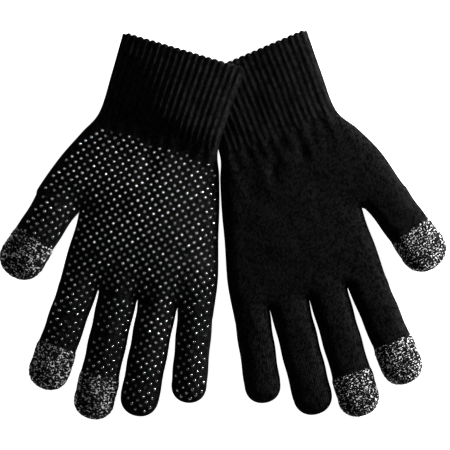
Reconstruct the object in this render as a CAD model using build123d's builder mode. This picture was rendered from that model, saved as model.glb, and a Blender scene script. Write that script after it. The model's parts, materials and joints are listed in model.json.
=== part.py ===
from build123d import *
from math import cos, radians, sin
import os

# A pair of knitted touchscreen gloves lying flat: one palm up with its grip dots showing, the other back up.
#
# Millimetres, +Z up. The gloves lie on Z = 0 with the fingers towards -Y, and the origin is under the middle of
# the pair. A place on a glove is given as (across, along): across runs from the thumb's side to the little
# finger's side, along runs towards the fingertips, both from the crotch between the middle and ring fingers.

# Fabric
WALL = 1.6  # one layer of the lined knit
THICKNESS = 11.0  # hand and fingers, lying slightly open
HEM_THICKNESS = 8.0  # the cuff at its open end
EDGE_ROUND = 5.3  # how far the hand and the fingers round off at their sides
GAP = 0.3  # between pieces that fold against each other

# Cuff, measured from the hem towards the hand
HEM_CENTRE = (-8.15, -158.15)
CUFF_LEAN = 4.6  # degrees towards the thumb
CUFF_LENGTH = 57.0
HEM_LENGTH = 4.0  # the bound-off edge
HEM_WIDTH = 80.6
PINCH = 50.0  # the narrowest place
SWELL = 44.0  # from here the cuff thickens to the hand
PINCH_WIDTH = 78.0
WRIST_WIDTH = 81.0
ELASTIC_LOOPS = 8
ELASTIC_STEP = 6.0
ELASTIC_DEPTH = 0.5  # below the cuff's outer face
ELASTIC_SIZE = 0.6

# The palm-up cuff climbs over the back-up cuff where they cross
LIFT_HEIGHT = 9.2
OVERLAP = 31.5  # the widest overlap, measured in from the cuff's side
OVERLAP_FULL = 16.0  # the overlap keeps that width this far from the hem
OVERLAP_END = 54.0  # and shrinks to nothing here
LIFT_FULL = 44.0  # the lift fades from here to the wrist
RAMP_LENGTH = 14.0
RAMP_CREST = 2.0  # how far inside the other cuff's edge the climb ends
CUFF_STATIONS = (4.0, 16.0, 44.0, 50.0)

# Palm and thumb root, as (across, along) corners and the radius that rounds them
PALM = [
    (-51.5, -140.0),
    (-51.5, -60.0),
    (-50.6, 34.0),
    (50.6, 34.0),
    (48.6, -4.4),
    (38.4, -69.0),
    (26.8, -100.5),
    (30.3, -140.0),
]
PALM_ROUND = 14.0
THUMB_ROOT = [(-50.5, -112.0), (-61.5, -84.0), (-77.3, -52.0), (-84.0, -32.0), (-57.0, -24.0), (-10.0, -84.0)]
THUMB_ROOT_ROUND = 8.0
THUMB_STRIP = 31.4  # wider than the thumb, to clear its dots
REACH = 90.0  # longer than any part that a cut has to clear

# Digits: the middle of the base, the lean towards the thumb in degrees, the width, the length to the tip,
# the place of the fold, and the length of the conductive tip
DIGITS = {
    "thumb": dict(base=(-63.2, -50.3), lean=19.0, width=27.4, length=56.8, fold=20.0, tip=28.0),
    "index": dict(base=(-37.85, -1.65), lean=5.8, width=24.4, length=70.0, fold=28.0, tip=28.0),
    "middle": dict(base=(-12.7, -0.2), lean=-0.8, width=24.3, length=79.7, fold=32.0, tip=28.0),
    "ring": dict(base=(12.8, -0.5), lean=-2.7, width=24.4, length=70.7, fold=29.0, tip=0.0),
    "little": dict(base=(36.9, -2.7), lean=-8.5, width=22.4, length=57.5, fold=24.0, tip=0.0),
}
ROOT = 6.0  # how far a digit's form runs back past its base before it is cut
KNUCKLES = [(-50.3, -2.9), (-25.4, -0.4), (0.0, 0.0), (25.6, -1.0), (48.2, -4.4)]

# Grip dots, in staggered rows across the palm side
DOT_RADIUS = 1.15
DOT_TOP_RADIUS = 0.7
DOT_HEIGHT = 1.1
DOT_PROUD = 0.6  # how far a dot stands out of the knit when nothing presses it
DOT_PITCH = 5.8
DOT_ROW_STEP = 2.9
DOT_FIRST_ROW = 61.0  # from the hem
DOT_SIDE_MARGIN = 4.2  # from the sides, where the fabric turns under
DOT_FOLD_MARGIN = 2.0  # from the folds
DOT_ROWS = 72
DOT_COLUMNS = 17  # each side of the middle

# The two gloves: the palm-up one has its thumb at -X, the back-up one has it at +X
GLOVES = {
    "palm_up": dict(flip=1, turn=-13.0, crotch=(-54.08, -48.22), lifted=True, dots_up=True),
    "back_up": dict(flip=-1, turn=17.0, crotch=(56.12, -45.12), lifted=False, dots_up=False),
}


def place(glove, across, along):
    """The (x, y) of a place on a glove."""
    x = glove["flip"] * across
    y = -along
    c = cos(radians(glove["turn"]))
    s = sin(radians(glove["turn"]))
    return glove["crotch"][0] + x * c - y * s, glove["crotch"][1] + x * s + y * c


def plane_along(glove, base, lean, height=0.0):
    """The level plane whose X runs along a digit or the cuff, from the place base, and Y across it."""
    x0, y0 = place(glove, *base)
    x1, y1 = place(glove, base[0] - sin(radians(lean)), base[1] + cos(radians(lean)))
    return Plane(origin=(x0, y0, height), x_dir=(x1 - x0, y1 - y0, 0), z_dir=(0, 0, 1))


def digit_plane(glove, digit, height=0.0):
    return plane_along(glove, digit["base"], digit["lean"], height)


def cuff_plane(glove, height=0.0):
    return plane_along(glove, HEM_CENTRE, CUFF_LEAN, height)


def round_rims(pad, radius):
    """Round the upper and lower rims of a flat pad."""
    rims = pad.edges().group_by(Axis.Z)
    return fillet(rims[0] + rims[-1], radius)


def digit_pad(glove, digit, inset):
    """A digit's whole round-ended form, with all its faces moved in by inset."""
    radius = digit["width"] / 2 - inset
    end = digit["length"] - inset - radius
    with BuildPart() as pad:
        with BuildSketch(digit_plane(glove, digit, inset)):
            with Locations(((end - ROOT) / 2, 0)):
                SlotCenterToCenter(end + ROOT, 2 * radius)
        extrude(amount=THICKNESS - 2 * inset)
        round_rims(pad, EDGE_ROUND - inset)
    return pad.part


def digit_sleeve(glove, digit, start, end):
    """The stretch of a digit's hollow tube between two distances from its base."""
    outside = digit_pad(glove, digit, 0.0)
    inside = digit_pad(glove, digit, WALL)
    with BuildPart() as sleeve:
        add(outside)
        add(inside, mode=Mode.SUBTRACT)
        with BuildSketch(digit_plane(glove, digit)):
            with Locations(((start + end) / 2, 0)):
                Rectangle(end - start, 2 * digit["width"])
        extrude(amount=THICKNESS, mode=Mode.INTERSECT)
    return sleeve


def outline_pad(glove, corners, rounding, inset):
    """A flat pad over an outline of rounded corners, with all its faces moved in by inset."""
    with BuildPart() as pad:
        with BuildSketch(Plane.XY.offset(inset)) as outline:
            with BuildLine():
                Polyline(*[place(glove, *corner) for corner in corners], close=True)
            make_face()
            fillet(outline.vertices(), rounding)
            if inset:
                offset(amount=-inset, mode=Mode.REPLACE)
        extrude(amount=THICKNESS - 2 * inset)
        round_rims(pad, EDGE_ROUND - inset)
    return pad.part


def thumb_root_pad(glove, inset):
    """The part of the hand that swells towards the thumb, ending where the thumb folds."""
    pad = outline_pad(glove, THUMB_ROOT, THUMB_ROOT_ROUND, inset)
    with BuildPart() as root:
        add(pad)
        with BuildSketch(digit_plane(glove, DIGITS["thumb"])):
            with Locations((-(REACH + GAP) / 2, 0)):
                Rectangle(REACH, 2 * REACH)
        extrude(amount=THICKNESS, mode=Mode.INTERSECT)
    return root.part


def beyond_knuckles(glove, margin):
    """Corners of the area beyond the line of the knuckles, which it starts a margin short of."""
    line = [(across, along - margin) for across, along in KNUCKLES]
    low_side, high_side = line[0][1], line[-1][1]
    far = [(REACH, high_side), (REACH, REACH), (-REACH, REACH), (-REACH, low_side)]
    return [place(glove, *corner) for corner in line + far]


def hand_sleeve(glove):
    """The hollow hand with the thumb's root, open at the wrist, the knuckles and the thumb."""
    palm = outline_pad(glove, PALM, PALM_ROUND, 0.0)
    root = thumb_root_pad(glove, 0.0)
    palm_inside = outline_pad(glove, PALM, PALM_ROUND, WALL)
    root_inside = outline_pad(glove, THUMB_ROOT, THUMB_ROOT_ROUND, WALL)
    with BuildPart() as hand:
        add(palm)
        add(root)
        add(palm_inside, mode=Mode.SUBTRACT)
        add(root_inside, mode=Mode.SUBTRACT)
        with BuildSketch():
            with BuildLine():
                Polyline(*beyond_knuckles(glove, GAP / 2), close=True)
            make_face()
        extrude(amount=THICKNESS, mode=Mode.SUBTRACT)
        with BuildSketch(cuff_plane(glove)):
            with Locations((CUFF_LENGTH + GAP / 2 - REACH / 2, 0)):
                Rectangle(REACH, 2 * REACH)
        extrude(amount=THICKNESS, mode=Mode.SUBTRACT)
    return hand


def between(value, low, high):
    """How far value is from low to high, from 0 to 1."""
    return min(1.0, max(0.0, (value - low) / (high - low)))


def cuff_section(glove, station, inset):
    """The cuff's closed outline at a distance from the hem, moved in by inset."""
    x0, y0 = place(glove, *HEM_CENTRE)
    x1, y1 = place(glove, HEM_CENTRE[0] + cos(radians(CUFF_LEAN)), HEM_CENTRE[1] + sin(radians(CUFF_LEAN)))
    x2, y2 = place(glove, HEM_CENTRE[0] - sin(radians(CUFF_LEAN)), HEM_CENTRE[1] + cos(radians(CUFF_LEAN)))
    origin = (x0 + station * (x2 - x0), y0 + station * (y2 - y0), 0)
    across = Vector(x1 - x0, y1 - y0, 0)
    plane = Plane(origin=origin, x_dir=across, z_dir=across.cross(Vector(0, 0, 1)))

    narrowing = HEM_WIDTH + (PINCH_WIDTH - HEM_WIDTH) * between(station, 0, PINCH)
    side = (narrowing + (WRIST_WIDTH - PINCH_WIDTH) * between(station, PINCH, CUFF_LENGTH)) / 2 - inset
    low = inset
    high = HEM_THICKNESS + (THICKNESS - HEM_THICKNESS) * between(station, SWELL, CUFF_LENGTH) - inset
    half = (high - low) / 2
    lift = 0.0
    if glove["lifted"]:
        lift = LIFT_HEIGHT * between(CUFF_LENGTH - station, 0, CUFF_LENGTH - LIFT_FULL)
    overlap = OVERLAP * between(OVERLAP_END - station, 0, OVERLAP_END - OVERLAP_FULL)
    crest = min(side - half - 0.5, HEM_WIDTH / 2 - overlap + RAMP_CREST)
    foot = crest - RAMP_LENGTH
    with BuildSketch(plane) as section:
        with BuildLine():
            Polyline((half - side, low), (foot, low), (crest, low + lift), (side - half, low + lift))
            ThreePointArc((side - half, low + lift), (side, low + half + lift), (side - half, high + lift))
            Polyline((side - half, high + lift), (crest, high + lift), (foot, high), (half - side, high))
            ThreePointArc((half - side, high), (-side, low + half), (half - side, low))
        make_face()
    return section.sketch


def cuff_sleeve(glove, start, end):
    """The stretch of the hollow cuff between two distances from the hem."""
    stations = [start] + [s for s in CUFF_STATIONS if start < s < end] + [end]
    with BuildPart() as bore:
        for near, far in zip(stations, stations[1:]):
            loft([cuff_section(glove, near, WALL), cuff_section(glove, far, WALL)], ruled=True)
    with BuildPart() as sleeve:
        for near, far in zip(stations, stations[1:]):
            loft([cuff_section(glove, near, 0.0), cuff_section(glove, far, 0.0)], ruled=True)
        add(bore.part, mode=Mode.SUBTRACT)
    return sleeve


def elastic_loops(glove):
    """Elastic yarns running round the cuff, inside its wall."""
    stations = [HEM_LENGTH + ELASTIC_STEP * (turn + 0.5) for turn in range(ELASTIC_LOOPS)]
    outlines = [cuff_section(glove, station, ELASTIC_DEPTH) for station in stations]
    cores = [cuff_section(glove, station, ELASTIC_DEPTH + ELASTIC_SIZE) for station in stations]
    with BuildPart() as loops:
        for outline in outlines:
            extrude(outline, amount=ELASTIC_SIZE, dir=cuff_plane(glove).x_dir)
        for core in cores:
            extrude(core, amount=ELASTIC_SIZE, dir=cuff_plane(glove).x_dir, mode=Mode.SUBTRACT)
    return loops


def dot_spots(glove, field):
    """The places of the dot lattice that fall inside a flat field."""
    spots = []
    box = field.bounding_box()
    hem_across, hem_along = HEM_CENTRE
    for row in range(DOT_ROWS):
        for column in range(-DOT_COLUMNS, DOT_COLUMNS + 1):
            across = DOT_PITCH * (column + 0.5 * (row % 2))
            along = DOT_FIRST_ROW + DOT_ROW_STEP * row
            x, y = place(glove, hem_across + across, hem_along + along)
            near = box.min.X < x < box.max.X and box.min.Y < y < box.max.Y
            if near and field.is_inside(Vector(x, y, 0)):
                spots.append((x, y))
    return spots


def dot_group(glove, field):
    """A solid dot at each lattice place in a field, sunk into the knit; on top of a glove it stands proud."""
    radii = (DOT_RADIUS, DOT_TOP_RADIUS) if glove["dots_up"] else (DOT_TOP_RADIUS, DOT_RADIUS)
    foot = THICKNESS + DOT_PROUD - DOT_HEIGHT if glove["dots_up"] else 0.0
    with BuildPart(Plane.XY.offset(foot)) as dots:
        with Locations(*dot_spots(glove, field)):
            Cone(*radii, DOT_HEIGHT, align=(Align.CENTER, Align.CENTER, Align.MIN))
    return dots


def digit_field(glove, digit, start, end):
    """The flat part of a digit that can hold dots, between two distances from its base."""
    radius = digit["width"] / 2 - DOT_SIDE_MARGIN
    far = digit["length"] - DOT_SIDE_MARGIN
    with BuildSketch(digit_plane(glove, digit)) as field:
        with Locations(((far - radius) / 2, 0)):
            SlotCenterToCenter(far - radius, 2 * radius)
        with Locations(((start + end) / 2, 0)):
            Rectangle(end - start - 2 * DOT_FOLD_MARGIN, digit["width"], mode=Mode.INTERSECT)
    return field.sketch.faces()[0]


def hand_field(glove):
    """The flat part of the palm and the thumb's root that can hold dots."""
    thumb_plane = digit_plane(glove, DIGITS["thumb"])
    thumb_turn = thumb_plane.x_dir.get_signed_angle(Vector(1, 0, 0), Vector(0, 0, -1))
    beyond_thumb = thumb_plane.from_local_coords((REACH / 2 - DOT_FOLD_MARGIN, 0))
    with BuildSketch() as field:
        for corners, rounding in ((PALM, PALM_ROUND), (THUMB_ROOT, THUMB_ROOT_ROUND)):
            with BuildSketch(mode=Mode.PRIVATE) as outline:
                with BuildLine():
                    Polyline(*[place(glove, *corner) for corner in corners], close=True)
                make_face()
                fillet(outline.vertices(), rounding)
                offset(amount=-DOT_SIDE_MARGIN, mode=Mode.REPLACE)
            add(outline.sketch)
        with BuildLine():
            Polyline(*beyond_knuckles(glove, DOT_FOLD_MARGIN), close=True)
        make_face(mode=Mode.SUBTRACT)
        with Locations((beyond_thumb.X, beyond_thumb.Y)):
            Rectangle(REACH, THUMB_STRIP, rotation=thumb_turn, mode=Mode.SUBTRACT)
    return field.sketch.faces().sort_by(SortBy.AREA)[-1]


def finish(part, name):
    """Label a piece and write its file."""
    part.label = name
    export_step(part, f"parts/{name}.step")


def build_glove(side, glove):
    """Write every piece of one glove."""
    finish(cuff_sleeve(glove, 0, HEM_LENGTH).part, f"{side}_cuff_hem")
    finish(cuff_sleeve(glove, HEM_LENGTH, CUFF_LENGTH - GAP / 2).part, f"{side}_cuff")
    finish(elastic_loops(glove).part, f"{side}_cuff_elastic")
    finish(hand_sleeve(glove).part, f"{side}_hand")
    finish(dot_group(glove, hand_field(glove)).part, f"{side}_palm_dots")
    for name, digit in DIGITS.items():
        fold = digit["fold"]
        end = digit["length"] - digit["tip"]
        finish(digit_sleeve(glove, digit, GAP / 2, fold - GAP / 2).part, f"{side}_{name}_base")
        finish(dot_group(glove, digit_field(glove, digit, 0, fold)).part, f"{side}_{name}_base_dots")
        finish(digit_sleeve(glove, digit, fold + GAP / 2, end).part, f"{side}_{name}_end")
        finish(dot_group(glove, digit_field(glove, digit, fold, end)).part, f"{side}_{name}_end_dots")
        if digit["tip"]:
            finish(digit_sleeve(glove, digit, end, digit["length"]).part, f"{side}_{name}_conductive_tip")


os.makedirs("parts", exist_ok=True)
for side, glove in GLOVES.items():
    build_glove(side, glove)
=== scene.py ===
"""A pair of knitted touchscreen gloves lying flat, one palm up with its grip dots showing, the other back up.

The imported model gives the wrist, knuckle and finger folds, and the CAD nodes' sizes. The places along the
hand and cuff are fitted to the real pair's outline, and LIE and the values after it put the cloth a
few millimetres off its CAD solids.
Each glove is shaped flat, in millimetres, in its own (across, along) coordinates: across runs away from the
thumb and along towards the fingertips, from the crotch between the middle and ring fingers. The outline is
filled with points, puffed up by the distance to its edge, and cut into pieces where the glove folds.
"""

import json
import math

import bpy
import numpy as np
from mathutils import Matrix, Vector, noise
from mathutils.geometry import delaunay_2d_cdt


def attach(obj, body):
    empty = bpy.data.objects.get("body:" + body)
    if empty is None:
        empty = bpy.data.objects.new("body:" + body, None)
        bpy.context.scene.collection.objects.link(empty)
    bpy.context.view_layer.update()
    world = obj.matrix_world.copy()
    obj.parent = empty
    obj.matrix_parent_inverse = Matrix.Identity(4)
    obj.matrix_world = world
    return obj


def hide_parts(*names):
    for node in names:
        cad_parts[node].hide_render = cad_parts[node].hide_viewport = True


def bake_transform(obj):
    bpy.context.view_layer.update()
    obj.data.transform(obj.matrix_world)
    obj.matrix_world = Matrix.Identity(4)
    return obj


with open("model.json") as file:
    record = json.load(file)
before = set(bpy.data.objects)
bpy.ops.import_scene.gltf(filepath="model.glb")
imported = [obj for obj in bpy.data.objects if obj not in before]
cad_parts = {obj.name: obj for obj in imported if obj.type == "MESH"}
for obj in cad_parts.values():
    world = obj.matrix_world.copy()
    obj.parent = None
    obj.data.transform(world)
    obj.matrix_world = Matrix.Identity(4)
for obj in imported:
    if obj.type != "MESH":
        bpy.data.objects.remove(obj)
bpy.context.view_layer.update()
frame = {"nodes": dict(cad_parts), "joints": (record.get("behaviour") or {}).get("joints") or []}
JOINTS = {joint["name"]: joint for joint in frame["joints"]}
RNG = np.random.default_rng(7)

MM = 0.001
FINGERS = ("thumb", "index", "middle", "ring", "little")

# Places on a glove, (across, along) in millimetres
MIDDLE_CROTCH = (0.0, -0.35)  # midway between the middle and ring knuckles
WRIST = (-12.72, -101.33)  # the middle of the wrist fold
KNUCKLES = [(-50.3, -2.9), (-25.4, -0.4), (0.0, 0.0), (25.6, -1.0), (48.2, -4.4)]
THUMB_BASE = [(-77.0, -55.0), (-48.7, -45.7)]
THUMB_SIDE = [(-46.9, -178.0), (-48.0, -161.8), (-49.1, -135.0), (-51.0, -109.5), (-58.7, -94.3),
              (-68.3, -76.0)]
INDEX_SIDE = [(-48.7, -35.0), (-49.9, -20.0)]
OUTER_SIDE = [(46.0, -25.0), (40.3, -50.0), (36.2, -70.0), (31.7, -88.0), (27.2, -104.0), (29.0, -130.0),
              (32.0, -154.5), (33.5, -171.0)]

# How the cloth of each glove lies off its CAD solids: (X, Y) in millimetres and a turn in degrees
LIE = {"palm_up": (2.2, 2.0, -0.5), "back_up": (-0.9, -1.0, -0.05)}
THUMB_FULLER = {"palm_up": 0.2, "back_up": 2.0}  # how much further out the thumb's side of the hand lies
THUMB_INWARD = {"palm_up": 0.8, "back_up": -0.7}  # how far in each thumb lies, outward below 0
SLACK = {"palm_up": 0.25, "back_up": 0.45}  # how far the cloth stands out at each side of a digit
# How much longer than its CAD solid the cloth of a finger is, shorter below 0
LONGER = {"palm_up": {"ring": 1.0, "little": 1.4}, "back_up": {"little": -0.4}}
# How much longer the hem is at the little finger's side, or at the thumb's side below 0
HEM_SKEW = {"palm_up": 0.9, "back_up": -1.1}

# Cuff
CUFF_LEAN = math.radians(4.6)
CUFF_LENGTH = 57.0
HEM_LENGTH = 4.0
RIBS = 40  # round the whole cuff
RIB_DEPTH = {"palm_up": 0.5, "back_up": 0.32}
RIB_STEPS = 8
RIB_PITCH = 4.2  # of the stitches across one rib
INNER_RIB = 0.35  # how much of a rib's depth shows on the cuff's inner face
HEM_SCALLOP = 1.0  # how far each rib stands out at the hem
HEM_TUCK = 1.2  # how far the lower face stops short of the upper
HEM_CORNER = 1.1
CUFF_WALL = 1.9
ROW_STEP = 1.5
CUFF_GAP = 0.6  # between the cuffs where one lies on the other
CUFF_RISE = (-70.0, -6.0)  # distances inside the lower cuff over which the upper one rises
CUFF_SETTLE = (40.0, 66.0)  # distances from its own hem over which it comes down again

# Grip dots
DOT_PITCH = 5.8
DOT_RADIUS = 0.98
DOT_HEIGHT = 0.66
DOT_ROOM = 0.3  # the lower face lies this far above the table, on the dots or on its own fuzz
DOT_FIRST_ROW = 60.5
DOT_EDGE = 2.2
DOT_THUMB_EDGE = 3.6
DOT_FLAT = 0.35  # how much of its height a dot keeps under the glove that lies on its palm

# Fabric
GRID_PER_DOT = 3  # grid columns, and grid rows, to each column and row of dots
GRID = DOT_PITCH / 2 / GRID_PER_DOT
WALL = 1.3
EDGE_RINGS = (0.12, 0.4, 0.85, 1.45)
HEM_LOFT = 6.4
WRIST_LOFT = 8.6
HAND_LOFT = {"palm_up": 11.6, "back_up": 10.3}
DIGIT_LOFT = 9.6
EDGE_HEIGHT = 0.4  # of the loft, where the two faces meet
BEND = 12.0  # the length over which a finger folds
WRIST_BEND = 22.0

HAND_GIRTH = 46.0
DIGIT_GIRTH = 13.0
CROWN = {"palm_up": 0.95, "back_up": 0.3}  # how much of its height each glove gains over its whole width
# Creases near the wrist: middle (across, along), lean in degrees, length, width, depth
FOLDS = {
    "palm_up": [(-11.7, -82.0, 8.0, 26.0, 9.0, 1.2), (8.0, -92.0, -12.0, 14.0, 6.0, 0.7)],
    "back_up": [(-23.0, -90.0, 22.0, 13.0, 4.5, 1.4), (-2.5, -85.0, 26.0, 15.0, 5.0, 1.3),
                (14.0, -78.0, 10.0, 20.0, 8.0, 0.6)],
}

WAIST = 0.35  # how much slimmer a digit is between its root and its end
WAIST_LENGTH = 5.0
CAP_FLARE = 0.75
NOSE = 0.52  # of a digit's width, the length of its rounded end
EDGE_WAVE = 0.18
RIM_ROUND = 7.5  # how far in from the edge the fabric is rounded
RIM_POWER = 2.2
UNDER_ROUND = 6.0
SOFT_EDGE = 12.0  # how far in from the edge the unevenness is full
WAVE_HEIGHT, WAVE_SIZE = 0.34, 17.0
DIMPLE_HEIGHT, DIMPLE_SIZE = 0.13, 6.5
GATHER_HEIGHT, GATHER_PITCH, GATHER_LENGTH = 0.5, 8.5, 11.0


# ---------------------------------------------------------------- flat geometry

def unit(vector):
    """The vector at length 1."""
    return np.asarray(vector, float) / np.linalg.norm(vector)


class Digit:
    """A finger or thumb in its glove's coordinates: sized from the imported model, then fitted a little."""

    def __init__(self, glove, name):
        knuckle = JOINTS[f"{glove.side}_{name}_knuckle"]["pos_m"]
        fold = JOINTS[f"{glove.side}_{name}_fold"]["pos_m"]
        self.name = name
        self.slack = SLACK[glove.side]
        self.base = glove.to_local(knuckle)
        reach = glove.to_local(fold) - self.base
        self.fold = np.linalg.norm(reach)
        self.along = unit(reach)
        self.across = np.array((self.along[1], -self.along[0]))
        tip_node = f"{glove.side}_{name}_conductive_tip"
        self.capped = tip_node in frame["nodes"]
        end = self.measure(glove, tip_node if self.capped else f"{glove.side}_{name}_end")
        self.length = end[:, 0].max() + LONGER[glove.side].get(name, 0.0)
        self.cap = end[:, 0].min() if self.capped else None
        self.width = 2 * np.abs(end[:, 1]).max()
        if name == "thumb":
            self.base = self.base + THUMB_INWARD[glove.side] * self.across

    def measure(self, glove, node):
        """A CAD node's points as (distance from the base, distance to the side)."""
        mesh = frame["nodes"][node].data
        points = np.empty(len(mesh.vertices) * 3)
        mesh.vertices.foreach_get("co", points)
        return self.coords(glove.to_local(points.reshape(-1, 3)))

    def coords(self, local):
        offset = np.asarray(local) - self.base
        return np.stack((offset @ self.along, offset @ self.across), -1)

    def point(self, station, side):
        return self.base + np.multiply.outer(station, self.along) + np.multiply.outer(side, self.across)

    def half_width(self, station, root):
        """Half the digit's width, from root at its base, a little waisted, to its rounded end."""
        half = self.width / 2 + self.slack
        value = half - WAIST + (root - half + WAIST) * np.exp(-station / WAIST_LENGTH)
        if self.capped:
            value = value + CAP_FLARE * smooth_step(station, self.cap - 1.0, self.cap + 4.0)
        nose = self.width * NOSE
        reach = np.clip((station - self.length + nose) / nose, 0, 1)
        return value * (1 - reach ** 2.25) ** (1 / 2.15)

    def stations(self, start):
        """Distances along the side, closer together round the tip, with one at each cut."""
        nose = self.length - self.width * NOSE
        straight = np.arange(start, nose, 0.9)
        turn = np.linspace(0, math.pi / 2, 26)
        tip = nose + (self.length - nose) * np.sin(turn)
        cuts = [c for c in self.cuts() if c > start]
        keep = [s for s in straight if all(abs(s - c) > 0.4 for c in cuts)]
        return np.unique(np.concatenate((keep, cuts, tip)))

    def cuts(self):
        """Where the digit is cut across: behind its fold, and at its cap."""
        return [self.fold - BEND / 2] + ([self.cap] if self.capped else [])


def smooth_step(value, low, high):
    """0 up to low, 1 from high on, and a smooth rise between."""
    t = np.clip((value - low) / (high - low), 0, 1)
    return t * t * (3 - 2 * t)


def spline(points, step=0.9):
    """A smooth curve (Catmull-Rom) from the first point to the last, through all of them."""
    p = np.asarray(points, float)
    p = np.vstack((2 * p[0] - p[1], p, 2 * p[-1] - p[-2]))
    out = []
    for a, b, c, d in zip(p, p[1:], p[2:], p[3:]):
        count = max(2, int(np.linalg.norm(c - b) / step))
        t = np.linspace(0, 1, count, endpoint=False)[:, None]
        out.append(0.5 * (2 * b + (c - a) * t + (2 * a - 5 * b + 4 * c - d) * t ** 2
                          + (3 * b - a - 3 * c + d) * t ** 3))
    out.append(p[-2:-1])
    return np.vstack(out)


class Glove:
    """One glove: its place in the frame, its digits and its outline."""

    def __init__(self, side):
        self.side = side
        knuckles = {name: np.array(JOINTS[f"{side}_{name}_knuckle"]["pos_m"][:2]) / MM for name in FINGERS}
        crotch = (knuckles["middle"] + knuckles["ring"]) / 2
        wrist = np.array(JOINTS[f"{side}_wrist_fold"]["pos_m"][:2]) / MM
        local = np.array(MIDDLE_CROTCH) - WRIST
        reach = crotch - wrist
        along = unit(reach)
        aside = np.array((-along[1], along[0]))
        if aside @ (knuckles["thumb"] - wrist) > 0:
            aside = -aside
        lean = math.atan2(local[0], local[1])
        self.v = along * math.cos(lean) - aside * math.sin(lean)
        self.u = along * math.sin(lean) + aside * math.cos(lean)
        self.origin = wrist - WRIST[0] * self.u - WRIST[1] * self.v
        self.mirrored = self.u[0] * self.v[1] - self.u[1] * self.v[0] < 0
        self.digits = {name: Digit(self, name) for name in FINGERS}
        self.settle(*LIE[side])
        self.cuff_along = np.array((-math.sin(CUFF_LEAN), math.cos(CUFF_LEAN)))
        self.cuff_across = np.array((math.cos(CUFF_LEAN), math.sin(CUFF_LEAN)))
        self.hem = np.array(WRIST) - CUFF_LENGTH * self.cuff_along
        self.make_outline()

    def settle(self, shift_x, shift_y, degrees):
        """Move and turn the cloth a little about the middle of the wrist."""
        turn = math.radians(degrees)
        wrist = self.origin + WRIST[0] * self.u + WRIST[1] * self.v
        spin = np.array(((math.cos(turn), -math.sin(turn)), (math.sin(turn), math.cos(turn))))
        self.u, self.v = spin @ self.u, spin @ self.v
        self.origin = wrist + (shift_x, shift_y) - WRIST[0] * self.u - WRIST[1] * self.v

    def to_local(self, world):
        """Millimetres on the glove for points in the frame, in metres."""
        offset = np.asarray(world, float)[..., :2] / MM - self.origin
        return np.stack((offset @ self.u, offset @ self.v), -1)

    def to_world(self, local, height):
        """Points in the frame, in metres, for places on the glove and heights in millimetres."""
        local = np.asarray(local, float)
        flat = self.origin + local[..., :1] * self.u + local[..., 1:2] * self.v
        return np.concatenate((flat, np.broadcast_to(height, flat.shape[:-1])[..., None]), -1) * MM

    def cuff_coords(self, local):
        """(distance from the hem, distance to the side) of places on the glove."""
        offset = np.asarray(local) - self.hem
        return np.stack((offset @ self.cuff_along, offset @ self.cuff_across), -1)

    def digit_sides(self, name, left_root, right_root, start_left=0.0, start_right=0.0):
        """A digit's outline from its thumb side round the tip to its other side."""
        digit = self.digits[name]
        left = digit.stations(start_left)
        right = digit.stations(start_right)[::-1][1:]
        wave = EDGE_WAVE * np.sin(left * 0.31 + digit.length)
        there = digit.point(left, -digit.half_width(left, left_root) - wave * (left < digit.length - 12))
        wave = EDGE_WAVE * np.sin(right * 0.27 + digit.width)
        back = digit.point(right, digit.half_width(right, right_root) + wave * (right < digit.length - 12))
        return np.vstack((there, back))

    def make_outline(self):
        """The whole edge, from the hem at the thumb's side round the fingers to the hem at the other side."""
        half = [np.linalg.norm(np.subtract(b, a)) / 2 for a, b in zip(KNUCKLES, KNUCKLES[1:])]
        thumb_half = np.linalg.norm(np.subtract(*THUMB_BASE)) / 2
        thumb = self.digit_sides("thumb", thumb_half, thumb_half, 5.0, 1.0)
        index = self.digit_sides("index", half[0], half[0], 5.0, 1.0)
        middle = self.digit_sides("middle", half[1], half[1], 1.0, 1.0)
        ring = self.digit_sides("ring", half[2], half[2], 1.0, 1.0)
        little = self.digit_sides("little", half[3], half[3], 1.0, 5.0)
        hand_side = THUMB_SIDE[:-2] + [(x - THUMB_FULLER[self.side], y) for x, y in THUMB_SIDE[-2:]]
        thumb_side = spline(hand_side + [THUMB_BASE[0]] + list(thumb[:2]))[:-2]
        index_side = spline([THUMB_BASE[1]] + INDEX_SIDE + [KNUCKLES[0]] + list(index[:2]))[:-2]
        outer_side = spline(list(little[-2:]) + [KNUCKLES[4]] + OUTER_SIDE)[1:]
        crotches = [np.array([k]) for k in KNUCKLES[1:4]]
        self.outline = np.vstack((thumb_side, thumb[1:], index_side, index[1:], crotches[0], middle,
                                  crotches[1], ring, crotches[2], little[:-1], outer_side))

    def wrist_cut(self):
        """The outline from the wrist on, with both its ends on the wrist's line."""
        station, side = self.cuff_coords(self.outline).T
        first = np.argmax(station > CUFF_LENGTH)
        last = len(station) - np.argmax(station[::-1] > CUFF_LENGTH) - 1
        left = np.interp(CUFF_LENGTH, station[:first + 1], side[:first + 1])
        right = np.interp(CUFF_LENGTH, station[last:][::-1], side[last:][::-1])
        ends = [self.hem + CUFF_LENGTH * self.cuff_along + y * self.cuff_across for y in (left, right)]
        return np.vstack((ends[0], self.outline[first:last + 1], ends[1]))

    def cuff_edges(self, stations):
        """The cuff's two side distances at each station from the hem."""
        station, side = self.cuff_coords(self.outline).T
        half = len(station) // 2
        first = station[:half] < CUFF_LENGTH + 8
        left = np.interp(stations, station[:half][first], side[:half][first])
        last = station[half:] < CUFF_LENGTH + 8
        right = np.interp(stations, station[half:][last][::-1], side[half:][last][::-1])
        return left, right


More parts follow.
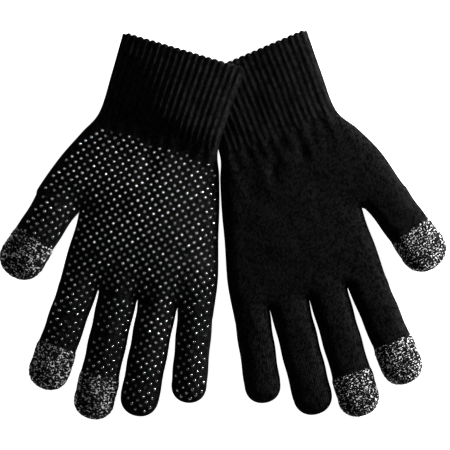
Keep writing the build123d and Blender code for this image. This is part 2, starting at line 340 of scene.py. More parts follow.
def edge_distance(points, outline):
    """The distance from each point to an open outline."""
    a, b = outline[:-1], outline[1:]
    span = b - a
    length = np.maximum((span ** 2).sum(1), 1e-9)
    result = np.empty(len(points))
    for i in range(0, len(points), 2000):
        offset = points[i:i + 2000, None] - a[None]
        t = np.clip((offset * span).sum(2) / length, 0, 1)
        result[i:i + 2000] = np.sqrt(((offset - t[..., None] * span) ** 2).sum(2).min(1))
    return result


def puff(distance, reach, power=2.0):
    """A rounded rise from 0 at the edge to 1 at reach."""
    return (1 - (1 - np.clip(distance / reach, 0, 1)) ** power) ** (1 / power)


def loft_at(glove, local):
    """How thick the empty glove stands, at places on it."""
    station = glove.cuff_coords(local)[:, 0]
    places = (0, CUFF_LENGTH, CUFF_LENGTH + 35)
    loft = np.interp(station, places, (HEM_LOFT, WRIST_LOFT, HAND_LOFT[glove.side]))
    beyond = smooth_step(local[:, 1], -25.0, 10.0)
    return loft + (DIGIT_LOFT - loft) * beyond


def ripple(local, scale, seed):
    """Smooth random unevenness from about -1 to 1."""
    return np.array([noise.noise(Vector((x / scale, y / scale, seed))) for x, y in local]) * 1.6


def cuff_lift(glove, other, local):
    """How far the palm-up glove's cuff is lifted by the cuff that it lies on."""
    if other is None:
        return np.zeros(len(local))
    world = glove.to_world(local, 0.0)
    station, side = other.cuff_coords(other.to_local(world)).T
    left, right = other.cuff_edges(np.clip(station, 0, CUFF_LENGTH))
    inside = np.minimum(station, np.minimum(right - side, side - left))
    own = glove.cuff_coords(local)[:, 0]
    return (HEM_LOFT + CUFF_GAP) * smooth_step(inside, *CUFF_RISE) * (1 - smooth_step(own, *CUFF_SETTLE))


def girth(glove, local):
    """How far in from the edge the fabric keeps rising: over the whole hand, or over one digit."""
    thumb = glove.digits["thumb"]
    station, side = thumb.coords(local).T
    on_thumb = smooth_step(station, -16.0, 12.0) * (1 - smooth_step(np.abs(side), 14.0, 22.0))
    on_finger = smooth_step(local[:, 1], -26.0, 10.0)
    slim = np.maximum(on_thumb, on_finger)
    return HAND_GIRTH + (DIGIT_GIRTH - HAND_GIRTH) * slim


def folds(glove, local):
    """How deep the creases near the wrist are, at places on the glove."""
    depth = np.zeros(len(local))
    for across, along, lean, length, width, deep in FOLDS[glove.side]:
        turn = math.radians(lean)
        offset = local - (across, along)
        run = offset @ (math.sin(turn), math.cos(turn)) / length
        away = offset @ (math.cos(turn), -math.sin(turn)) / width
        depth += deep * np.exp(-4 * run ** 2 - 4 * away ** 2)
    return depth


def surfaces(glove, other, local, distance, seed):
    """The heights of the upper and lower faces at places on the glove."""
    loft = loft_at(glove, local)
    station, side = glove.cuff_coords(local).T
    crown = CROWN[glove.side]
    rim = puff(distance, RIM_ROUND, RIM_POWER)
    rise = (1 - crown) * rim + crown * puff(distance, girth(glove, local))
    soft = puff(distance, SOFT_EDGE)
    top = loft * (EDGE_HEIGHT + (1 - EDGE_HEIGHT) * rise)
    waves = WAVE_HEIGHT * ripple(local, WAVE_SIZE, seed)
    top += soft * (waves + DIMPLE_HEIGHT * ripple(local, DIMPLE_SIZE, seed + 9))
    gather = np.exp(-np.maximum(station - CUFF_LENGTH, 0) / GATHER_LENGTH)
    gather = gather * smooth_step(station, CUFF_LENGTH - 8, CUFF_LENGTH + 4)
    phase = side * 2 * math.pi / GATHER_PITCH + 2 * ripple(local, 22.0, seed + 4)
    top += soft * gather * GATHER_HEIGHT * np.sin(phase)
    top -= soft * folds(glove, local)
    bottom = DOT_ROOM + loft * EDGE_HEIGHT * (1 - puff(distance, UNDER_ROUND))
    lift = cuff_lift(glove, other, local)
    return top + lift, bottom + lift


# ---------------------------------------------------------------- fabric meshes

def add_mesh(name, vertices, faces, knit=None):
    """A mesh object from points in metres, with its knit coordinates in millimetres."""
    mesh = bpy.data.meshes.new(name)
    mesh.from_pydata([tuple(v) for v in vertices], [], [tuple(int(i) for i in f) for f in faces])
    mesh.shade_smooth()
    if knit is not None:
        attribute = mesh.attributes.new("knit", "FLOAT_VECTOR", "POINT")
        attribute.data.foreach_set("vector", np.asarray(knit, np.float32).ravel())
    mesh.update()
    piece = bpy.data.objects.new(name, mesh)
    bpy.context.scene.collection.objects.link(piece)
    return piece


def sharpen(piece, edges):
    """Mark the edges, given as pairs of vertices, so that the shading breaks along them."""
    for edge in piece.data.edges:
        if tuple(sorted(edge.vertices)) in edges:
            edge.use_edge_sharp = True


def cross_line(start, end, step=0.95, zigzag=0.0):
    """Points strictly between two outline points, for a cut across the fabric."""
    count = max(2, int(np.linalg.norm(end - start) / step))
    t = np.linspace(0, 1, count + 1)[1:-1, None]
    line = start + (end - start) * t
    if zigzag:
        side = unit(np.array((-(end - start)[1], (end - start)[0])))
        line = line + side * (zigzag * RNG.uniform(-1, 1, (len(line), 1)))
    return line


class Sheet:
    """The flat pattern of one glove from the wrist on: points, triangles and the cuts between pieces."""

    def __init__(self, glove):
        self.glove = glove
        outline = glove.wrist_cut()
        points = [outline]
        edges = [(i, i + 1) for i in range(len(outline) - 1)]
        total = len(outline)

        def add_cut(first, last, zigzag=0.0):
            nonlocal total
            line = cross_line(outline[first], outline[last], zigzag=zigzag)
            chain = [first] + list(range(total, total + len(line))) + [last]
            edges.extend(zip(chain, chain[1:]))
            points.append(line)
            total += len(line)
            return line

        def nearest(place):
            return int(np.argmin(((outline - place) ** 2).sum(1)))

        lines = [add_cut(len(outline) - 1, 0)]
        for digit in glove.digits.values():
            root = THUMB_BASE if digit.name == "thumb" else KNUCKLES
            number = 0 if digit.name == "thumb" else FINGERS.index(digit.name) - 1
            lines.append(add_cut(nearest(root[number]), nearest(root[number + 1])))
            for cut in digit.cuts():
                station, side = digit.coords(outline).T
                close = (np.abs(station - cut) < 0.3) & (np.abs(side) < digit.width * 0.7)
                left = np.flatnonzero(close & (side < 0))
                right = np.flatnonzero(close & (side > 0))
                first = left[np.argmin(np.abs(station[left] - cut))]
                last = right[np.argmin(np.abs(station[right] - cut))]
                lines.append(add_cut(first, last, 0.45 if cut == digit.cap else 0.0))
        self.on_outline = len(outline)

        low, high = outline.min(0), outline.max(0)
        columns = np.arange(math.floor(low[0] / GRID), math.ceil(high[0] / GRID) + 1)
        rows = np.arange(math.floor(low[1] / GRID), math.ceil(high[1] / GRID) + 1)
        grid = np.stack(np.meshgrid(columns, rows, indexing="ij"), -1).reshape(-1, 2)
        places = grid * GRID
        inside = self.inside(places, outline)
        grid, places = grid[inside], places[inside]
        clear = edge_distance(places, outline) > EDGE_RINGS[-1] + 0.45
        for line in lines:
            clear &= edge_distance(places, line) > 0.42
        grid, places = grid[clear], places[clear]
        tangent = np.gradient(outline, axis=0)
        normal = np.stack((-tangent[:, 1], tangent[:, 0]), -1)
        normal /= np.linalg.norm(normal, axis=1)[:, None]
        if not self.inside(outline[40:41] + 0.3 * normal[40:41], outline)[0]:
            normal = -normal
        for ring in EDGE_RINGS:
            offset = (outline + ring * normal)[3:-3]
            keep = edge_distance(offset, outline) > 0.93 * ring
            keep &= self.inside(offset, outline)
            for line in lines:
                keep &= edge_distance(offset, line) > 0.35
            points.append(offset[keep])
            total += keep.sum()
        self.grid_start = total
        self.grid = grid
        points.append(places)
        result = delaunay_2d_cdt([Vector(p) for p in np.vstack(points)], edges, [], 1, 1e-5)
        self.points = np.array([tuple(v) for v in result[0]])
        self.triangles = np.array(result[2])
        self.source = [ids[0] if ids else -1 for ids in result[3]]
        self.outline = outline

    @staticmethod
    def inside(places, outline):
        """Whether each place lies inside the closed outline, by crossings."""
        x, y = places.T
        result = np.zeros(len(places), bool)
        for (x0, y0), (x1, y1) in zip(outline, np.roll(outline, -1, 0)):
            if y0 != y1:
                crosses = (y0 > y) != (y1 > y)
                result ^= crosses & (x < (x1 - x0) * (y - y0) / (y1 - y0) + x0)
        return result

    def labels(self):
        """The piece that each triangle belongs to: beside two digits, the one whose middle is nearer."""
        centre = self.points[self.triangles].mean(1)
        names = np.array(["hand"] * len(centre), dtype=object)
        nearest = np.full(len(centre), np.inf)
        for digit in self.glove.digits.values():
            root = THUMB_BASE if digit.name == "thumb" else KNUCKLES
            number = 0 if digit.name == "thumb" else FINGERS.index(digit.name) - 1
            a, b = np.array(root[number]), np.array(root[number + 1])
            beyond = (centre - a) @ np.array((-(b - a)[1], (b - a)[0])) > 0
            station, side = digit.coords(centre).T
            mine = beyond & (np.abs(side) < digit.width * 0.62)
            mine &= (station > -2) & (station < digit.length + 2)
            mine &= np.abs(side) < nearest
            nearest[mine] = np.abs(side[mine])
            names[mine] = f"{digit.name}_base"
            fold = digit.cuts()[0]
            names[mine & (station > fold)] = f"{digit.name}_end"
            if digit.capped:
                names[mine & (station > digit.cap)] = f"{digit.name}_tip"
        return names


def knit_coords(glove, points, label):
    """Across and along the knit, in millimetres: along each digit, or along the hand."""
    name = label.split("_")[0]
    if name not in glove.digits:
        return points
    digit = glove.digits[name]
    station, side = digit.coords(points).T
    return np.stack((side + digit.base[0], station + digit.base[1]), -1)


def vertex_normals(vertices, triangles):
    """The outward direction at each vertex."""
    a, b, c = vertices[triangles].transpose(1, 0, 2)
    face = np.cross(b - a, c - a)
    normal = np.zeros_like(vertices)
    for corner in triangles.T:
        np.add.at(normal, corner, face)
    return normal / np.maximum(np.linalg.norm(normal, axis=1), 1e-12)[:, None]


def relax(values, triangles, fixed, rounds):
    """Even out heights over the triangles, leaving the fixed points."""
    pairs = np.vstack((triangles[:, :2], triangles[:, 1:], triangles[:, ::2]))
    count = np.zeros(len(values))
    for side in (0, 1):
        np.add.at(count, pairs[:, side], 1)
    for _ in range(rounds):
        total = np.zeros(len(values))
        np.add.at(total, pairs[:, 0], values[pairs[:, 1]])
        np.add.at(total, pairs[:, 1], values[pairs[:, 0]])
        values = np.where(fixed, values, 0.5 * values + 0.5 * total / np.maximum(count, 1))
    return values


def shell_piece(name, vertices, normals, triangles, knit, thickness):
    """A closed piece of fabric: an outer face, an inner face a wall's thickness in, and rims at its cuts."""
    used, triangles = np.unique(triangles, return_inverse=True)
    triangles = triangles.reshape(-1, 3)
    outer = vertices[used]
    inner = outer - normals[used] * thickness
    count = len(used)
    directed = np.vstack((triangles[:, :2], triangles[:, 1:], triangles[:, ::-2]))
    forward = {(a, b) for a, b in directed.tolist()}
    rim = [(b, a, a + count, b + count) for a, b in forward if (b, a) not in forward]
    faces = triangles.tolist() + (triangles[:, ::-1] + count).tolist() + sorted(rim)
    piece = add_mesh(name, np.vstack((outer, inner)), faces, np.vstack((knit[used], knit[used])))
    sharpen(piece, {tuple(sorted(side)) for a, b, c, d in rim for side in ((a, b), (c, d))})
    return piece


def dot_spots(glove, sheet, distance, labels, triangles, vertices, normals):
    """The place and slope of each dot, on the palm's face, by the piece that it is printed on."""
    points = sheet.points
    count = len(points)
    face = slice(0, count) if glove.side == "palm_up" else slice(count, None)
    level, lean = vertices[face], normals[face]
    thumb_outside = (glove.digits["thumb"].coords(points)[:, 1] < 0) & (points[:, 0] < THUMB_BASE[1][0])
    margin = np.where(thumb_outside, DOT_THUMB_EDGE, DOT_EDGE)
    station = glove.cuff_coords(points)[:, 0]
    owner = np.full(count, "", dtype=object)
    for label in sorted(set(labels)):
        owner[np.unique(triangles[labels == label])] = label
    spots = {}
    for index, start in enumerate(sheet.source):
        if start < sheet.grid_start:
            continue
        column, row = sheet.grid[start - sheet.grid_start]
        if row % GRID_PER_DOT or column % GRID_PER_DOT:
            continue
        staggered = (row // GRID_PER_DOT + column // GRID_PER_DOT) % 2 == 0
        if staggered and distance[index] > margin[index] and station[index] > DOT_FIRST_ROW:
            if not owner[index].endswith("_tip"):
                spots.setdefault(owner[index], []).append((level[index], lean[index]))
    return spots


def glove_body(glove, other, seed):
    """The hand and the digits as separate pieces, and where the dots go."""
    sheet = Sheet(glove)
    points, triangles = sheet.points, sheet.triangles
    edge = glove.outline
    distance = edge_distance(points, edge)
    source = np.array(sheet.source)
    on_edge = (source >= 0) & (source < sheet.on_outline)
    distance[on_edge] = 0.0
    top, bottom = surfaces(glove, other, points, distance, seed)
    top = relax(top, triangles, distance < 2.5, 6)
    spin = points[triangles]
    turn = np.cross(spin[:, 1] - spin[:, 0], spin[:, 2] - spin[:, 0])
    triangles = np.where((turn > 0)[:, None], triangles, triangles[:, ::-1])
    labels = sheet.labels()

    count = len(points)
    lower = np.where(on_edge, np.arange(count), np.arange(count) + count)
    vertices = np.vstack((glove.to_world(points, top), glove.to_world(points, bottom)))
    upward = triangles[:, ::-1] if glove.mirrored else triangles
    downward = lower[upward[:, ::-1]]
    faces = np.vstack((upward, downward))
    face_labels = np.concatenate((labels, labels))
    rough = np.zeros(len(vertices))
    normals = vertex_normals(vertices, faces)
    for digit in glove.digits.values():
        if digit.capped:
            station, side = digit.coords(points).T
            tip = (station > digit.cap - 0.3) & (np.abs(side) < digit.width * 0.56)
            bump = ripple(points, 1.35, seed + 3) * 0.2 + 0.12
            rough[:count] += np.where(tip, bump, 0)
            rough[count:] += np.where(tip & ~on_edge, np.minimum(bump, 0), 0)
    vertices = vertices + normals * rough[:, None] * MM
    vertices[:, 2] = np.maximum(vertices[:, 2], 0.00002)

    pieces = {}
    for label in sorted(set(labels)):
        knit = np.zeros((len(vertices), 3))
        flat = knit_coords(glove, points, label)
        knit[:count, :2] = flat
        knit[count:, :2] = flat
        knit[:, 2] = seed
        chosen = faces[face_labels == label]
        pieces[label] = shell_piece(f"{glove.side}_{label}_knit", vertices, normals, chosen, knit, WALL * MM)

    spots = dot_spots(glove, sheet, distance, labels, triangles, vertices, normals)
    return pieces, spots


def cuff_tube(glove, other, stations, inward, seed):
    """Rows of points round the cuff, inward from its outer face, with their knit coordinates."""
    count = RIBS * RIB_STEPS
    rows = []
    knit = []
    left, right = glove.cuff_edges(np.clip(stations, 0, None))
    for station, low, high, depth in zip(stations, left, right, inward):
        half = (high - low) / 2
        turn = np.linspace(0, math.pi, 400)
        side = (low + high) / 2 - half * np.cos(turn)
        local = glove.hem + station * glove.cuff_along + side[:, None] * glove.cuff_across
        distance = half - np.abs(side - (low + high) / 2)
        top, bottom = surfaces(glove, other, local, distance, seed)
        loop = np.vstack((np.stack((side, top), -1), np.stack((side, bottom), -1)[::-1][1:-1]))
        closed = np.vstack((loop, loop[:1]))
        run = np.concatenate(([0], np.cumsum(np.linalg.norm(np.diff(closed, axis=0), axis=1))))
        place = np.linspace(0, run[-1], count, endpoint=False)
        ring = np.stack((np.interp(place, run, closed[:, 0]), np.interp(place, run, closed[:, 1])), -1)
        tangent = np.roll(ring, -1, 0) - np.roll(ring, 1, 0)
        out = np.stack((-tangent[:, 1], tangent[:, 0]), -1)
        out /= np.linalg.norm(out, axis=1)[:, None]
        phase = np.arange(count) / RIB_STEPS
        crest = 0.5 + 0.5 * np.cos(2 * math.pi * phase)
        bump = np.abs(np.cos(math.pi * phase)) ** 0.7
        under = np.clip(2 * phase / RIBS - 1, 0, 1)
        reach = half - np.abs(ring[:, 0] - (low + high) / 2)
        tuck = HEM_TUCK * np.sin(math.pi * under) ** 0.5 + HEM_CORNER * np.clip(1 - reach / 4, 0, 1) ** 2
        fade = 1 - smooth_step(station, CUFF_LENGTH - 9, CUFF_LENGTH + 0.5)
        depth_here = depth + RIB_DEPTH[glove.side] * fade * (1 - crest) * (INNER_RIB if depth > 1 else 1.0)
        ring = ring - out * depth_here[:, None]
        height = np.maximum(ring[:, 1], 0.02)
        skew = HEM_SKEW[glove.side] * (ring[:, 0] - (low + high) / 2) / half
        along = station + (tuck - HEM_SCALLOP * bump - skew) * (1 - smooth_step(station, -1.0, 4.0))
        local = glove.hem + np.outer(along, glove.cuff_along) + np.outer(ring[:, 0], glove.cuff_across)
        rows.append(glove.to_world(local, height))
        knit.append(np.stack((phase * RIB_PITCH, np.full(count, station), np.full(count, seed)), -1))
    return np.array(rows), np.array(knit)


def tube_faces(rows, count, start=0):
    """Quads between rows of points, each row a ring, with the last row joined to the first."""
    faces = []
    for row in range(rows):
        a, b = start + row * count, start + (row + 1) % rows * count
        for i in range(count):
            j = (i + 1) % count
            faces.append((a + i, a + j, b + j, b + i))
    return faces


def cuff_piece(glove, other, name, stations, inward, seed, sharp):
    """A closed ring of fabric round the cuff, with its shading broken along the sharp rows."""
    rows, knit = cuff_tube(glove, other, np.array(stations, float), inward, seed)
    count = rows.shape[1]
    faces = tube_faces(len(rows), count)
    if glove.mirrored:
        faces = [f[::-1] for f in faces]
    piece = add_mesh(name, rows.reshape(-1, 3), faces, knit.reshape(-1, 3))
    rims = [row * count for row in sharp]
    sharpen(piece, {tuple(sorted((r + i, r + (i + 1) % count))) for r in rims for i in range(count)})
    return piece


def cuff_pieces(glove, other, seed):
    """The ribbed cuff and its bound-off edge."""
    out_rows = list(np.arange(HEM_LENGTH, CUFF_LENGTH, ROW_STEP)) + [CUFF_LENGTH]
    stations = out_rows + out_rows[::-1]
    inward = [0.0] * len(out_rows) + [CUFF_WALL] * len(out_rows)
    cuff = cuff_piece(glove, other, f"{glove.side}_cuff_rib_knit", stations, inward, seed,
                      (0, len(out_rows) - 1, len(out_rows), len(stations) - 1))
    hem_out = [HEM_LENGTH, 2.6, 1.5, 0.6, -0.1, -0.5]
    hem_depth = [0.0, 0.0, -0.05, -0.08, 0.0, 0.4]
    lining = [CUFF_WALL, CUFF_WALL + 0.1, CUFF_WALL + 0.2, CUFF_WALL + 0.15, CUFF_WALL - 0.2, 1.3]
    stations = [-0.7] + hem_out[::-1] + hem_out
    inward = [0.9] + hem_depth[::-1] + lining
    hem = cuff_piece(glove, other, f"{glove.side}_cuff_hem_knit", stations, inward, seed,
                     (len(hem_out), len(hem_out) + 1))
    return cuff, hem


def elastic_piece(glove, other, seed):
    """Elastic yarns running round inside the cuff's wall."""
    vertices, faces, knit = [], [], []
    sides = 6
    for turn in range(8):
        station = HEM_LENGTH + 6.0 * (turn + 0.5)
        middle, coords = cuff_tube(glove, other, np.array([station]), [1.35], seed)
        ring = middle[0]
        count = len(ring)
        start = len(vertices)
        tangent = np.roll(ring, -1, 0) - np.roll(ring, 1, 0)
        tangent /= np.linalg.norm(tangent, axis=1)[:, None]
        along = glove.to_world(glove.cuff_along, 0) - glove.to_world(np.zeros(2), 0)
        along = along / np.linalg.norm(along)
        out = np.cross(tangent, along)
        for k in range(sides):
            angle = 2 * math.pi * k / sides
            loop = ring + 0.0002 * (math.cos(angle) * out + math.sin(angle) * along)
            vertices.extend(loop)
            knit.extend(coords[0])
        faces += tube_faces(sides, count, start)
    return add_mesh(f"{glove.side}_elastic_yarns", vertices, faces, knit)


def dome_template(segments=12, rings=4):
    """A unit dome with a short skirt below its rim."""
    points = [(0.0, 0.0, 1.0)]
    turns = np.linspace(0, math.pi / 2, rings + 1)[1:]
    levels = [(math.sin(a), math.cos(a)) for a in turns] + [(0.98, -0.45)]
    for radius, height in levels:
        for k in range(segments):
            angle = 2 * math.pi * k / segments
            points.append((radius * math.cos(angle), radius * math.sin(angle), height))
    faces = [(0, 1 + k, 1 + (k + 1) % segments) for k in range(segments)]
    for level in range(len(levels) - 1):
        a, b = 1 + level * segments, 1 + (level + 1) * segments
        for k in range(segments):
            j = (k + 1) % segments
            faces.append((a + k, b + k, b + j, a + j))
    last = 1 + (len(levels) - 1) * segments
    faces.append(tuple(last + k for k in reversed(range(segments))))
    return np.array(points), faces


def dot_piece(name, spots, proud):
    """A silicone dome at each spot, standing along the fabric's own slope."""
    template, template_faces = dome_template()
    vertices, faces = [], []
    for place, lean in spots:
        side = unit(np.cross(lean, (0.31, 0.95, 0.05)))
        other = np.cross(lean, side)
        size = DOT_RADIUS * MM * RNG.uniform(0.93, 1.07)
        tall = DOT_HEIGHT * MM * RNG.uniform(0.88, 1.08) * proud
        shift = RNG.uniform(-0.14, 0.14, 2) * MM
        centre = place + side * shift[0] + other * shift[1]
        dome = centre + template @ np.array((side * size, other * size, lean * tall))
        start = len(vertices)
        vertices.extend(dome)
        faces.extend(tuple(start + i for i in face) for face in template_faces)
    return add_mesh(name, vertices, faces)


# ---------------------------------------------------------------- materials

class Graph:
    """Short ways to add nodes to one material."""

    def __init__(self, name):
        self.material = bpy.data.materials.new(name)
        self.material.use_nodes = True
        self.tree = self.material.node_tree
        self.shader = next(n for n in self.tree.nodes if n.type == "BSDF_PRINCIPLED")

    def link(self, value, socket):
        if isinstance(value, bpy.types.NodeSocket):
            self.tree.links.new(value, socket)
        else:
            socket.default_value = value

    def math(self, operation, *values):
        node = self.tree.nodes.new("ShaderNodeMath")
        node.operation = operation
        for value, socket in zip(values, node.inputs):
            self.link(value, socket)
        return node.outputs[0]

    def split(self, vector):
        node = self.tree.nodes.new("ShaderNodeSeparateXYZ")
        self.link(vector, node.inputs[0])
        return node.outputs

    def join(self, *values):
        node = self.tree.nodes.new("ShaderNodeCombineXYZ")
        for value, socket in zip(values, node.inputs):
            self.link(value, socket)
        return node.outputs[0]

    def knit(self):
        node = self.tree.nodes.new("ShaderNodeAttribute")
        node.attribute_name = "knit"
        return node.outputs["Vector"]

    def position(self):
        node = self.tree.nodes.new("ShaderNodeTexCoord")
        return node.outputs["Object"]

    def noise(self, vector, scale, detail=2.0, roughness=0.5):
        node = self.tree.nodes.new("ShaderNodeTexNoise")
        self.link(vector, node.inputs["Vector"])
        node.inputs["Scale"].default_value = scale
        node.inputs["Detail"].default_value = detail
        node.inputs["Roughness"].default_value = roughness
        return node.outputs["Fac"]

    def random(self, vector):
        node = self.tree.nodes.new("ShaderNodeTexWhiteNoise")
        node.noise_dimensions = "3D"
        self.link(vector, node.inputs["Vector"])
        return node.outputs["Value"]

    def ramp(self, value, stops):
        node = self.tree.nodes.new("ShaderNodeValToRGB")
        self.link(value, node.inputs[0])
        elements = node.color_ramp.elements
        while len(elements) < len(stops):
            elements.new(0.5)
        for element, (position, grey) in zip(elements, stops):
            element.position = position
            element.color = (grey[0], grey[1], grey[2], 1)
        return node.outputs[0]

    def bump(self, height, strength, distance, normal=None):
        node = self.tree.nodes.new("ShaderNodeBump")
        self.link(height, node.inputs["Height"])
        node.inputs["Strength"].default_value = strength
        node.inputs["Distance"].default_value = distance
        if normal is not None:
            self.link(normal, node.inputs["Normal"])
        return node.outputs[0]

    def finish(self, color, roughness, normal, **fixed):
        self.link(color, self.shader.inputs["Base Color"])
        self.link(roughness, self.shader.inputs["Roughness"])
        if normal is not None:
            self.link(normal, self.shader.inputs["Normal"])
        for name, value in fixed.items():
            self.shader.inputs[name.replace("_", " ")].default_value = value
        return self.material


def grey(value, warm=0.0):
    return (value * (1 + warm), value, value * (1 - warm))


def stitches(graph, wale, course, wander=0.3):
    """Stocking stitch: (height, random number of each stitch) and the knit coordinates (x, y, seed)."""
    x, y, seed = graph.split(graph.knit())
    wobble = graph.math("MULTIPLY_ADD", graph.noise(graph.join(x, y, seed), 0.35, 1.0), wander, -wander / 2)
    column = graph.math("DIVIDE", graph.math("ADD", x, wobble), wale)
    leg = graph.math("ABSOLUTE", graph.math("MULTIPLY_ADD", graph.math("FRACT", column), 2.0, -1.0))
    row = graph.math("MULTIPLY_ADD", leg, 0.75, graph.math("DIVIDE", graph.math("ADD", y, wobble), course))
    strand = graph.math("COSINE", graph.math("MULTIPLY", row, 2 * math.pi))
    strand = graph.math("MULTIPLY_ADD", strand, 0.5, 0.5)
    off = graph.math("MULTIPLY_ADD", leg, 2.0, -1.0)
    rest = graph.math("SUBTRACT", 1.0, graph.math("MULTIPLY", off, off))
    round_leg = graph.math("SQRT", graph.math("MAXIMUM", rest, 0.0))
    height = graph.math("MULTIPLY", round_leg, graph.math("MULTIPLY_ADD", strand, 0.5, 0.5))
    channel = graph.math("MULTIPLY_ADD", graph.math("MULTIPLY", leg, leg), -0.75, 1.0)
    height = graph.math("MULTIPLY", height, channel)
    cell = graph.join(graph.math("FLOOR", column), graph.math("FLOOR", row), seed)
    return height, graph.random(cell), x, y, seed


def knit_material(name, dark, light, wale=1.4, course=1.35, bump=0.22, sheen=0.18):
    """Black knitted yarn: columns of stitches, each a little lighter or darker, with a slight fuzz, and with
    painted shade in the grooves between the stitches' legs and a painted highlight on their raised middles.
    """
    graph = Graph(name)
    height, speck, x, y, seed = stitches(graph, wale, course)
    fuzz = graph.noise(graph.join(x, y, seed), 0.9, 2.0, 0.7)
    # Painted shade and painted highlight: the stitch's height darkens its grooves and lightens its raised
    # legs. The random tone of each stitch and the fuzz are the yarn's own.
    groove_shade_and_speck = graph.math("MULTIPLY", height, graph.math("MULTIPLY_ADD", speck, 1.0, 0.5))
    groove_shade_and_speck = graph.math("MULTIPLY_ADD", fuzz, 0.45, graph.math("MULTIPLY", groove_shade_and_speck, 0.8))
    # The brightest stop, eight times the light grey, is partly a painted highlight on the highest stitches.
    color = graph.ramp(groove_shade_and_speck, [(0.27, grey(dark)), (0.5, grey(light)), (0.85, grey(light * 8.0))])
    lump = graph.math("MULTIPLY_ADD", fuzz, 0.6, height)
    normal = graph.bump(lump, bump, 0.0004)
    return graph.finish(color, 0.88, normal, Sheen_Weight=sheen, Sheen_Roughness=0.12,
                        Sheen_Tint=(0.8, 0.8, 0.82, 1), Specular_IOR_Level=0.01)


def cap_material(name):
    """Marled conductive yarn: grey and black strands twisted together, so each stitch differs, with painted
    shade darkening the grooves between the stitches' legs.
    """
    graph = Graph(name)
    height, speck, x, y, seed = stitches(graph, 1.5, 1.15)
    twist = graph.noise(graph.join(x, graph.math("MULTIPLY", y, 1.3), seed), 0.9, 1.0, 0.5)
    marl_and_groove_shade = graph.math("MULTIPLY_ADD", speck, 0.35, graph.math("MULTIPLY_ADD", twist, 2.6, -1.0))
    # Painted shade: the stitch's height darkens the marl in its grooves.
    marl_and_groove_shade = graph.math("MULTIPLY", marl_and_groove_shade, graph.math("MULTIPLY_ADD", height, 0.35, 0.75))
    color = graph.ramp(marl_and_groove_shade, [(0.58, grey(0.0003)), (0.65, grey(0.01)), (0.73, grey(0.25)), (0.92, grey(0.6))])
    normal = graph.bump(graph.math("MULTIPLY_ADD", twist, 0.7, height), 0.6, 0.0005)
    return graph.finish(color, 0.8, normal, Sheen_Weight=0.02, Sheen_Roughness=0.5,
                        Sheen_Tint=(0.8, 0.8, 0.82, 1), Specular_IOR_Level=0.05)


def dot_material(name):
    """Glossy dark silicone."""
    graph = Graph(name)
    spot = graph.noise(graph.position(), 900.0, 2.0)
    color = graph.ramp(spot, [(0.3, grey(0.001)), (0.7, grey(0.004))])
    rough = graph.math("MULTIPLY_ADD", spot, 0.12, 0.2)
    normal = graph.bump(graph.noise(graph.position(), 600.0, 1.0), 0.15, 0.0001)
    return graph.finish(color, rough, normal, Specular_IOR_Level=0.1, Coat_Weight=1.0, Coat_Roughness=0.03,
                        Coat_IOR=2.5)


def elastic_material(name):
    """Dark elastic yarn with a thread wrapped round it."""
    graph = Graph(name)
    x = graph.split(graph.knit())[0]
    wrap = graph.math("SINE", graph.math("MULTIPLY", x, 14.0))
    color = graph.ramp(graph.math("MULTIPLY_ADD", wrap, 0.5, 0.5), [(0.0, grey(0.006)), (1.0, grey(0.03))])
    return graph.finish(color, 0.6, graph.bump(wrap, 0.3, 0.0001))


# ---------------------------------------------------------------- assembly

PLAIN = knit_material("black_plain_knit", 0.0001, 0.0011)
RIB = knit_material("black_rib_knit", 0.0001, 0.0013)
CAPS = cap_material("marled_conductive_knit")
DOTS = dot_material("silicone")
ELASTIC = elastic_material("elastic_yarn")


def dress(piece, material, slot, *nodes):
    """Give a piece its material and hide its CAD nodes; the slot is not used."""
    piece.data.materials.append(material)
    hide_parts(*nodes)


def bend(piece, glove, start, end):
    """Bake a piece's transform into its mesh; the two places on the glove are worked out and left unused, and
    the piece is not folded.
    """
    glove.to_world(start, 0.0)
    glove.to_world(end, 0.0)
    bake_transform(piece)


def bend_digit(piece, glove, digit, part):
    """Bake a piece of a digit in place, given the places about its knuckle or its own fold; it is not folded.
    """
    if part == "base":
        bend(piece, glove, digit.point(0.0, 0.0), digit.point(BEND, 0.0))
    else:
        near, far = digit.point(digit.fold - BEND / 2, 0.0), digit.point(digit.fold + BEND / 2, 0.0)
        bend(piece, glove, near, far)


def bend_hand(piece, glove):
    """Bake a piece of the hand in place, given the places about the wrist; it is not folded."""
    start = glove.hem + CUFF_LENGTH * glove.cuff_along
    bend(piece, glove, start, start + WRIST_BEND * glove.cuff_along)


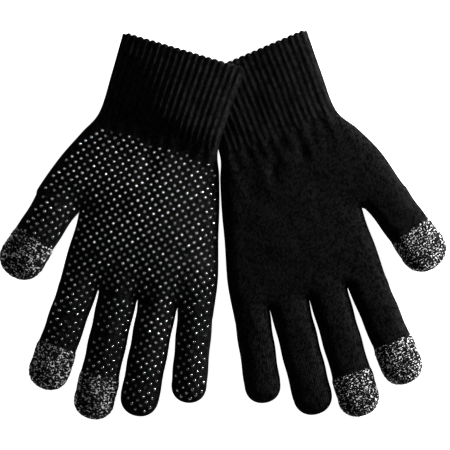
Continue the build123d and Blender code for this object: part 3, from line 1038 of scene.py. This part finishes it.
def build_glove(side, other, seed):
    """Make every piece of one glove, with the cuff's pieces and the caps riding on their bodies, and return
    the glove for another to lie on.
    """
    glove = Glove(side)
    cuff, hem = cuff_pieces(glove, other, seed)
    elastic = elastic_piece(glove, other, seed)
    dress(cuff, RIB, "rib_knit", f"{side}_cuff")
    dress(hem, RIB, "hem_knit", f"{side}_cuff_hem")
    dress(elastic, ELASTIC, "elastic_yarn", f"{side}_cuff_elastic")
    for piece in (cuff, hem, elastic):
        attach(piece, f"{side}_cuff_body")
    pieces, spots = glove_body(glove, other, seed)
    proud = 1.0 if side == "palm_up" else DOT_FLAT
    for label, piece in pieces.items():
        name, _, part = label.partition("_")
        if label == "hand":
            dress(piece, PLAIN, "plain_knit", f"{side}_hand")
            bend_hand(piece, glove)
        elif part == "tip":
            dress(piece, CAPS, "conductive_knit", f"{side}_{name}_conductive_tip")
            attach(piece, f"{side}_{name}_end_body")
        else:
            dress(piece, PLAIN, "plain_knit", f"{side}_{label}")
            bend_digit(piece, glove, glove.digits[name], part)
    for label, places in spots.items():
        name, _, part = label.partition("_")
        node = f"{side}_palm_dots" if label == "hand" else f"{side}_{label}_dots"
        dots = dot_piece(f"{node}_silicone", places, proud)
        dress(dots, DOTS, "silicone_dots", node)
        if label == "hand":
            bend_hand(dots, glove)
        else:
            bend_digit(dots, glove, glove.digits[name], part)
    return glove


lower_glove = build_glove("back_up", None, 2.0)
build_glove("palm_up", lower_glove, 5.0)


# ---------------------------------------------------------------- stage

VIEW_WIDTH = 283.5 * MM
VIEW_CENTRE = (2.2 * MM, 1.1 * MM)
CAMERA_HEIGHT = 2.4
SENSOR = 36.0


def make_stage():
    """A plain pale floor."""
    bpy.ops.mesh.primitive_plane_add(size=40.0, location=(0, 0, 0))
    floor = bpy.context.object
    floor.name = "floor"
    graph = Graph("pale_floor")
    graph.finish((0.9, 0.9, 0.9, 1), 0.9, None, Emission_Color=(1, 1, 1, 1), Emission_Strength=1.0)
    floor.data.materials.append(graph.material)


def area_light(name, place, size, power):
    """A round soft light aimed at the origin."""
    light = bpy.data.lights.new(name, "AREA")
    light.shape = "DISK"
    light.size = size
    light.energy = power
    lamp = bpy.data.objects.new(name, light)
    lamp.location = place
    lamp.rotation_euler = (-Vector(place)).to_track_quat("-Z", "Y").to_euler()
    bpy.context.scene.collection.objects.link(lamp)


def make_lights():
    """A low raking key light, two fills and a faint white surround."""
    area_light("key", (0.78, 0.3, 0.125), 0.24, 40.0)
    area_light("fill", (-1.2, 0.55, 1.1), 0.26, 4.0)
    area_light("low_fill", (-0.5, -1.3, 1.2), 0.35, 2.0)
    world = bpy.data.worlds.new("studio")
    bpy.context.scene.world = world
    world.use_nodes = True
    world.node_tree.nodes["Background"].inputs[0].default_value = (1, 1, 1, 1)
    world.node_tree.nodes["Background"].inputs[1].default_value = 0.04


def make_camera():
    """A camera straight above the gloves, wide enough for both."""
    camera = bpy.data.cameras.new("camera")
    camera.sensor_width = SENSOR
    camera.lens = SENSOR * CAMERA_HEIGHT / VIEW_WIDTH
    view = bpy.data.objects.new("camera", camera)
    view.location = (*VIEW_CENTRE, CAMERA_HEIGHT)
    bpy.context.scene.collection.objects.link(view)
    bpy.context.scene.camera = view


make_stage()
make_lights()
make_camera()
bpy.context.scene.view_settings.view_transform = "Standard"
